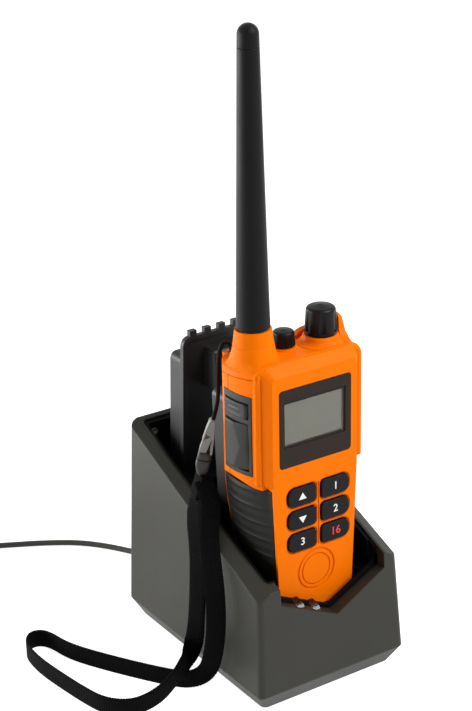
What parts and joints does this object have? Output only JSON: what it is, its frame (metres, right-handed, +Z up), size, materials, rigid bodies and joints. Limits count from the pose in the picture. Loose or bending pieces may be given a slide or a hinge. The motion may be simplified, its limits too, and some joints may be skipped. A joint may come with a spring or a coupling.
{
  "type": "handheld vhf marine radio in charger",
  "caption": "Orange waterproof handheld marine radio standing in a dark sloped two-bay desktop charger, with a spare battery pack, wrist lanyard and charger lead.",
  "frame": {"origin": "on the surface the charger stands on, under the middle of the charger", "axes": "+Z up along the antenna, -Y the way the radio's face looks, +X to the right of someone facing it"},
  "size_m": [0.1855, 0.2656, 0.3524],
  "materials": {
    "housing_grey": "fine textured moulded plastic",
    "plinth_grey": "moulded plastic",
    "bay_black": "polished black plastic",
    "foot_rubber": "soft rubber",
    "screw_steel": "zinc-plated steel",
    "circuit_green": "solder-masked board",
    "contact_brass": "plated brass",
    "clear_pipe": "clear moulded acrylic",
    "cable_black": "cable jacket",
    "shell_orange": "satin orange moulded plastic",
    "seal_black": "sealing rubber",
    "grip_black": "moulded grip rubber",
    "bezel_brown": "satin dark plastic",
    "window_clear": "clear window",
    "lcd_grey": "reflective display glass",
    "key_black": "moulded key",
    "panel_black": "textured panel",
    "knob_black": "satin moulded plastic",
    "antenna_black": "flexible moulded sleeve",
    "pack_black": "textured moulded plastic",
    "cell_grey": "foil-cased cells",
    "cord_black": "braided cord",
    "clip_grey": "moulded acetal",
    "webbing_black": "woven webbing"
  },
  "bodies": {
    "charger": {"charger_housing": "housing_grey", "radio_bay": "bay_black", "battery_bay": "bay_black", "base_plate": "plinth_grey", "rubber_feet": "foot_rubber", "base_screws": "screw_steel", "tray_screws": "screw_steel", "charger_board": "circuit_green", "charge_contacts": "contact_brass", "light_pipes": "clear_pipe", "cable_gland": "cable_black", "charger_lead": "cable_black", "lead_coil": "cable_black", "lead_tail": "cable_black", "dc_plug": "cable_black"},
    "radio": {"front_shell": "shell_orange", "rear_shell": "shell_orange", "top_cap": "shell_orange", "casing_gasket": "seal_black", "grip_left": "grip_black", "grip_right": "grip_black", "display_bezel": "bezel_brown", "display_window": "window_clear", "lcd_module": "lcd_grey", "keypad_mat": "seal_black", "side_panel": "panel_black", "main_board": "circuit_green", "loudspeaker": "knob_black", "microphone": "screw_steel", "antenna_socket": "contact_brass", "control_pots": "screw_steel", "case_screws": "screw_steel", "radio_battery_plate": "pack_black", "radio_battery_case": "pack_black", "radio_battery_cells": "cell_grey", "radio_battery_latch": "pack_black", "belt_clip_bracket": "knob_black", "belt_clip_pin": "screw_steel", "belt_clip_spring": "screw_steel", "lanyard_loop": "cord_black", "lanyard_clip_upper": "clip_grey", "lanyard_clip_lower": "clip_grey", "strap_end": "webbing_black", "wrist_strap": "webbing_black"},
    "spare_battery": {"spare_battery_plate": "pack_black", "spare_battery_case": "pack_black", "spare_battery_cells": "cell_grey", "spare_battery_latch": "pack_black"},
    "volume": {"volume_knob": "knob_black"},
    "channel": {"channel_knob": "knob_black"},
    "antenna_whip": {"antenna": "antenna_black"},
    "talk_button": {"ptt_button": "panel_black"},
    "light_button": {"side_button": "panel_black"},
    "belt_clip": {"belt_clip_arm": "knob_black"},
    "key_up_cap": {"key_up": "key_black"},
    "key_squelch_cap": {"key_squelch": "key_black"},
    "key_down_cap": {"key_down": "key_black"},
    "key_scan_cap": {"key_scan": "key_black"},
    "key_high_low_cap": {"key_high_low": "key_black"},
    "key_call_cap": {"key_call": "key_black"}
  },
  "joints": [
    {"name": "radio_lift", "type": "slide", "parent": "charger", "child": "radio", "axis": [0, 0, 1], "range_m": [0, 0.12]},
    {"name": "spare_battery_lift", "type": "slide", "parent": "charger", "child": "spare_battery", "axis": [0, 0, 1], "range_m": [0, 0.12]},
    {"name": "volume_turn", "type": "hinge", "parent": "radio", "child": "volume", "pos_m": [0.0208, -0.027, 0.184], "axis": [0, 0, 1], "range_deg": [-140, 140]},
    {"name": "channel_turn", "type": "hinge", "parent": "radio", "child": "channel", "pos_m": [0.0002, -0.023, 0.183], "axis": [0, 0, 1], "continuous": true},
    {"name": "antenna_unscrew", "type": "hinge", "parent": "radio", "child": "antenna_whip", "pos_m": [-0.0236, -0.0309, 0.2], "axis": [0, 0, 1], "continuous": true},
    {"name": "talk_press", "type": "slide", "parent": "radio", "child": "talk_button", "axis": [1, 0, 0], "range_m": [0, 0.0008], "stiffness_N_per_m": 2500},
    {"name": "light_press", "type": "slide", "parent": "radio", "child": "light_button", "axis": [1, 0, 0], "range_m": [0, 0.0008], "stiffness_N_per_m": 2000},
    {"name": "belt_clip_open", "type": "hinge", "parent": "radio", "child": "belt_clip", "pos_m": [0, 0.008, 0.166], "axis": [1, 0, 0], "range_deg": [0, 15], "stiffness_Nm_per_rad": 0.6},
    {"name": "key_up_press", "type": "slide", "parent": "radio", "child": "key_up_cap", "axis": [0, 1, 0], "range_m": [0, 0.0006], "stiffness_N_per_m": 1500},
    {"name": "key_squelch_press", "type": "slide", "parent": "radio", "child": "key_squelch_cap", "axis": [0, 1, 0], "range_m": [0, 0.0006], "stiffness_N_per_m": 1500},
    {"name": "key_down_press", "type": "slide", "parent": "radio", "child": "key_down_cap", "axis": [0, 1, 0], "range_m": [0, 0.0006], "stiffness_N_per_m": 1500},
    {"name": "key_scan_press", "type": "slide", "parent": "radio", "child": "key_scan_cap", "axis": [0, 1, 0], "range_m": [0, 0.0006], "stiffness_N_per_m": 1500},
    {"name": "key_high_low_press", "type": "slide", "parent": "radio", "child": "key_high_low_cap", "axis": [0, 1, 0], "range_m": [0, 0.0006], "stiffness_N_per_m": 1500},
    {"name": "key_call_press", "type": "slide", "parent": "radio", "child": "key_call_cap", "axis": [0, 1, 0], "range_m": [0, 0.0006], "stiffness_N_per_m": 1500}
  ]
}
